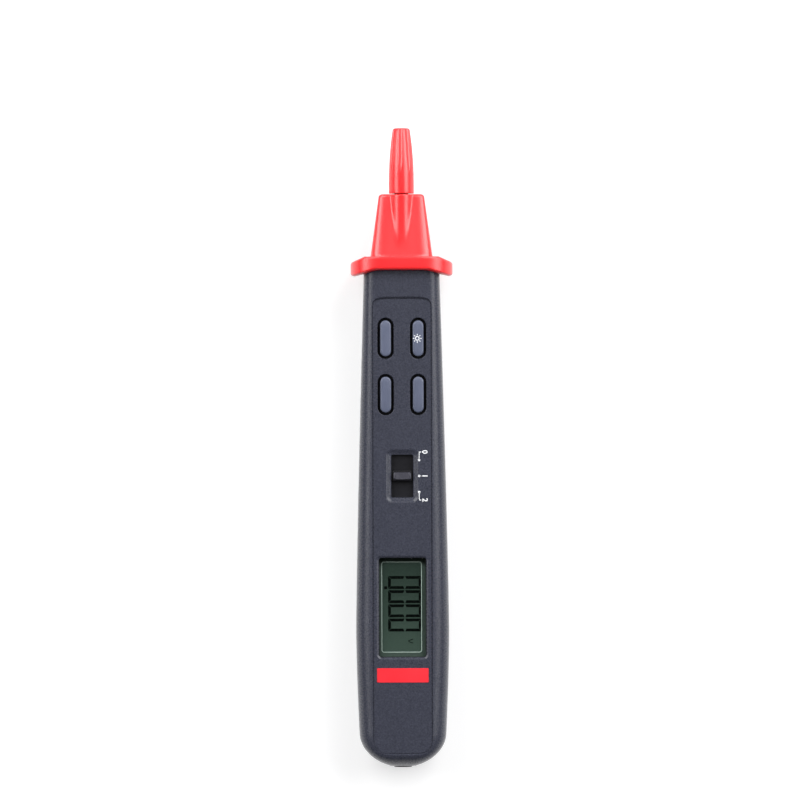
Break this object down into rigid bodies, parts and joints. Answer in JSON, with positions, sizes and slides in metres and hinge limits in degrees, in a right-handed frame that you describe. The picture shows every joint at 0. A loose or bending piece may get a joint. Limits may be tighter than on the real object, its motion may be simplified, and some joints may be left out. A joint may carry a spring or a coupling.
{
  "type": "pen multimeter",
  "caption": "Slim hand-held pen meter with a capped probe in its nose, a finger guard, sunken display, push buttons, range slider, battery cover and tail socket.",
  "frame": {"origin": "centre of the bounding box's foot, on the surface that the meter lies on", "axes": "+Z leaves the display face, +Y runs along the probe, +X is to the right seen from the front with the probe up"},
  "size_m": [0.037, 0.232, 0.029],
  "materials": {
    "case_front": "fine satin grain",
    "case_back": "fine satin grain",
    "red_plastic": "smooth, half gloss",
    "steel_screw": "zinc plated",
    "steel_spring": "nickel plated",
    "label_red": "printed film",
    "window_clear": "clear, polished",
    "lcd_glass": "grey-green, satin",
    "black_plastic": "satin",
    "light_guide": "milky",
    "led_white": "moulded",
    "zebra_rubber": "matt",
    "circuit_board": "solder mask",
    "chip_black": "matt",
    "can_metal": "drawn can",
    "resistor_blue": "lacquered",
    "capacitor_sleeve": "shrunk sleeve",
    "thermistor_yellow": "dipped coating",
    "trimmer_blue": "moulded",
    "brass": "plain",
    "dome_steel": "snap dome",
    "probe_steel": "polished",
    "cell_jacket": "printed sleeve, plain",
    "contact_nickel": "nickel plated",
    "button_blue": "soft satin",
    "slider_black": "satin"
  },
  "bodies": {
    "meter": {"front_case": "case_front", "rear_case": "case_back", "nose_guard": "red_plastic", "case_screws": "steel_screw", "label_patch": "label_red", "lcd_window": "window_clear", "lcd_glass": "lcd_glass", "lcd_frame": "black_plastic", "lcd_backlight": "light_guide", "backlight_led": "led_white", "zebra_strips": "zebra_rubber", "main_board": "circuit_board", "meter_chip": "chip_black", "crystal": "can_metal", "board_resistors": "resistor_blue", "board_capacitors": "capacitor_sleeve", "ptc_thermistor": "thermistor_yellow", "trimmer": "trimmer_blue", "buzzer_disc": "brass", "key_domes": "dome_steel", "com_socket": "black_plastic", "com_contact": "brass", "com_strip": "brass", "probe_pin": "probe_steel", "probe_sleeve": "black_plastic", "probe_strip": "brass", "battery_left": "cell_jacket", "battery_right": "cell_jacket", "battery_springs": "steel_spring", "battery_terminals": "contact_nickel", "battery_bridge": "contact_nickel", "cover_insert": "brass"},
    "select_button": {"select_button": "button_blue"},
    "light_button": {"light_button": "button_blue"},
    "hold_button": {"hold_button": "button_blue"},
    "max_min_button": {"max_min_button": "button_blue"},
    "range_slider": {"range_slider": "slider_black", "slider_wipers": "brass"},
    "probe_cap": {"probe_cap": "red_plastic"},
    "battery_cover": {"battery_cover": "case_back", "battery_screw": "steel_screw"}
  },
  "joints": [
    {"name": "select_button_press", "type": "slide", "parent": "meter", "child": "select_button", "axis": [0, 0, -1], "range_m": [0, 0.0006], "stiffness_N_per_m": 800},
    {"name": "light_button_press", "type": "slide", "parent": "meter", "child": "light_button", "axis": [0, 0, -1], "range_m": [0, 0.0006], "stiffness_N_per_m": 800},
    {"name": "hold_button_press", "type": "slide", "parent": "meter", "child": "hold_button", "axis": [0, 0, -1], "range_m": [0, 0.0006], "stiffness_N_per_m": 800},
    {"name": "max_min_button_press", "type": "slide", "parent": "meter", "child": "max_min_button", "axis": [0, 0, -1], "range_m": [0, 0.0006], "stiffness_N_per_m": 800},
    {"name": "range_slide", "type": "slide", "parent": "meter", "child": "range_slider", "axis": [0, 1, 0], "range_m": [-0.0058, 0.0058]},
    {"name": "cap_pull", "type": "slide", "parent": "meter", "child": "probe_cap", "axis": [0, 1, 0], "range_m": [0, 0.022]},
    {"name": "cover_lift", "type": "slide", "parent": "meter", "child": "battery_cover", "axis": [0, 0, -1], "range_m": [0, 0.012]}
  ]
}
